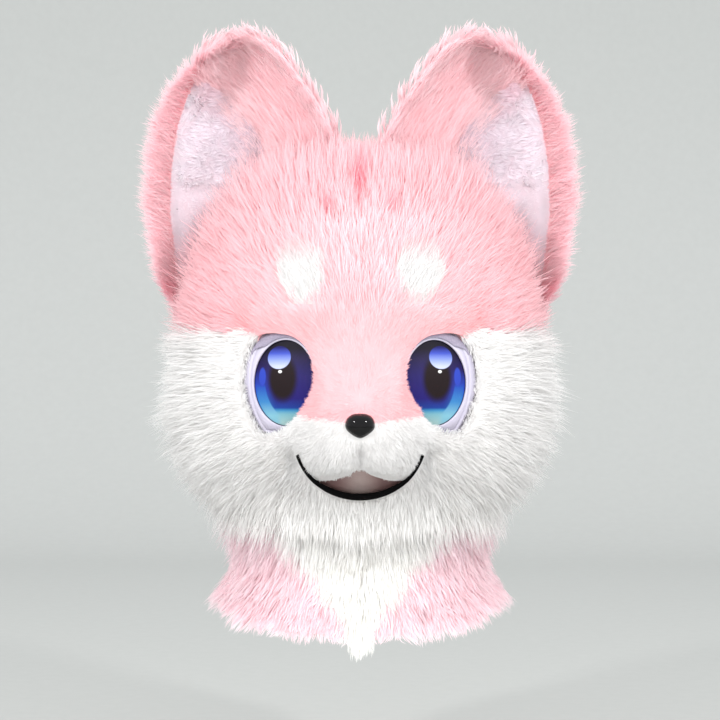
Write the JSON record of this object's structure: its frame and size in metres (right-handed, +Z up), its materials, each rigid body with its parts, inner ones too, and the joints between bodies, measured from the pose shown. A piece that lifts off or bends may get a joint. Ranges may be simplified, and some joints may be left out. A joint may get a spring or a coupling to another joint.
{
  "type": "fursuit head",
  "caption": "Furry canine costume head: hollow foam base under pink and white faux fur, big cupped ears, see-through eyes, open smile and flared neck collar.",
  "frame": {"origin": "The top of the hollow inside the head, where the crown of the wearer's head sits.", "axes": "+Z is up through the ears, the face looks along -Y, and +X is the wearer's left."},
  "size_m": [0.3896, 0.3642, 0.548],
  "materials": {
    "foam": "open-cell upholstery foam",
    "pink_fur": "long-pile faux fur",
    "short_pink_fur": "faux fur shaved short",
    "white_fur": "long-pile faux fur",
    "short_white_fur": "faux fur shaved short",
    "ear_fur": "long-pile faux fur",
    "ear_lining": "short plush",
    "eye_white": "satin",
    "iris_mesh": "printed see-through mesh",
    "eyelid": "felt",
    "nose": "glossy",
    "lip": "felt",
    "mouth_mesh": "see-through mesh",
    "backing_cloth": "knitted fur backing"
  },
  "bodies": {
    "root": {"head_base": "foam", "crown_fur": "pink_fur", "bridge_fur": "short_pink_fur", "muzzle_fur": "short_white_fur", "jaw_fur": "short_white_fur", "cheek_fur_left": "white_fur", "cheek_fur_right": "white_fur", "brow_spot_left": "white_fur", "brow_spot_right": "white_fur", "ear_left": "ear_fur", "ear_right": "ear_fur", "ear_lining_left": "ear_lining", "ear_lining_right": "ear_lining", "eye_white_left": "eye_white", "eye_white_right": "eye_white", "iris_left": "iris_mesh", "iris_right": "iris_mesh", "eyelid_left": "eyelid", "eyelid_right": "eyelid", "nose": "nose", "lip_band": "lip", "mouth_mesh": "mouth_mesh", "collar_cloth": "backing_cloth", "collar_fur": "pink_fur", "bib_fur": "white_fur"}
  },
  "joints": []
}
